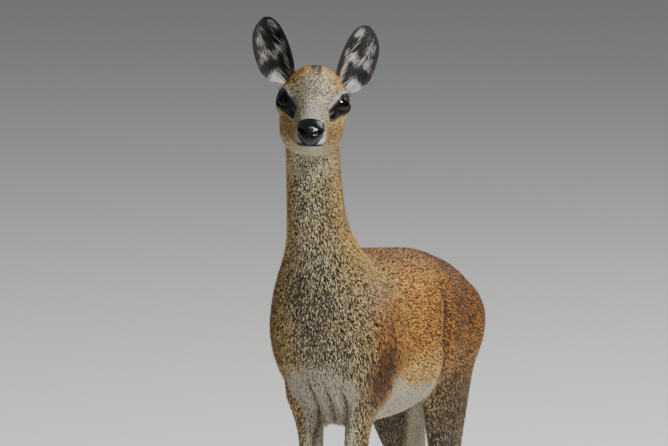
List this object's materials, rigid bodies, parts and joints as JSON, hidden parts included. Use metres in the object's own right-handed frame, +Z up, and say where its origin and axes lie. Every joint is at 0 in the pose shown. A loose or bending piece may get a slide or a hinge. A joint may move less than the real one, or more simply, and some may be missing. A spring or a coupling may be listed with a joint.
{
  "type": "klipspringer",
  "caption": "Standing female klipspringer, a small stocky antelope with cupped ears and a turned head, on the tips of peg-like hooves, as a still life-size model.",
  "frame": {"origin": "middle of the bounding box, at the level of the ground that the hooves stand on", "axes": "+Z up, -Y the way the body faces, +X the animal's left side"},
  "size_m": [0.1586, 0.5404, 0.7977],
  "materials": {
    "coat": "short coarse hair, speckled",
    "ear": "thin short hair with a black rim",
    "horn": "dull dark hoof horn",
    "eye": "wet, very dark brown",
    "nose": "wet, pebbled black"
  },
  "bodies": {
    "root": {"torso": "coat", "neck": "coat", "tail": "coat", "head": "coat", "nose": "nose", "eye_left": "eye", "eye_right": "eye", "ear_left": "ear", "ear_right": "ear", "foreleg_left_above_knee": "coat", "foreleg_left_below_knee": "coat", "foreleg_left_hoof_outer": "horn", "foreleg_left_hoof_inner": "horn", "foreleg_left_dewclaw_outer": "horn", "foreleg_left_dewclaw_inner": "horn", "foreleg_right_above_knee": "coat", "foreleg_right_below_knee": "coat", "foreleg_right_hoof_outer": "horn", "foreleg_right_hoof_inner": "horn", "foreleg_right_dewclaw_outer": "horn", "foreleg_right_dewclaw_inner": "horn", "hindleg_left_above_hock": "coat", "hindleg_left_below_hock": "coat", "hindleg_left_hoof_outer": "horn", "hindleg_left_hoof_inner": "horn", "hindleg_left_dewclaw_outer": "horn", "hindleg_left_dewclaw_inner": "horn", "hindleg_right_above_hock": "coat", "hindleg_right_below_hock": "coat", "hindleg_right_hoof_outer": "horn", "hindleg_right_hoof_inner": "horn", "hindleg_right_dewclaw_outer": "horn", "hindleg_right_dewclaw_inner": "horn"}
  },
  "joints": []
}
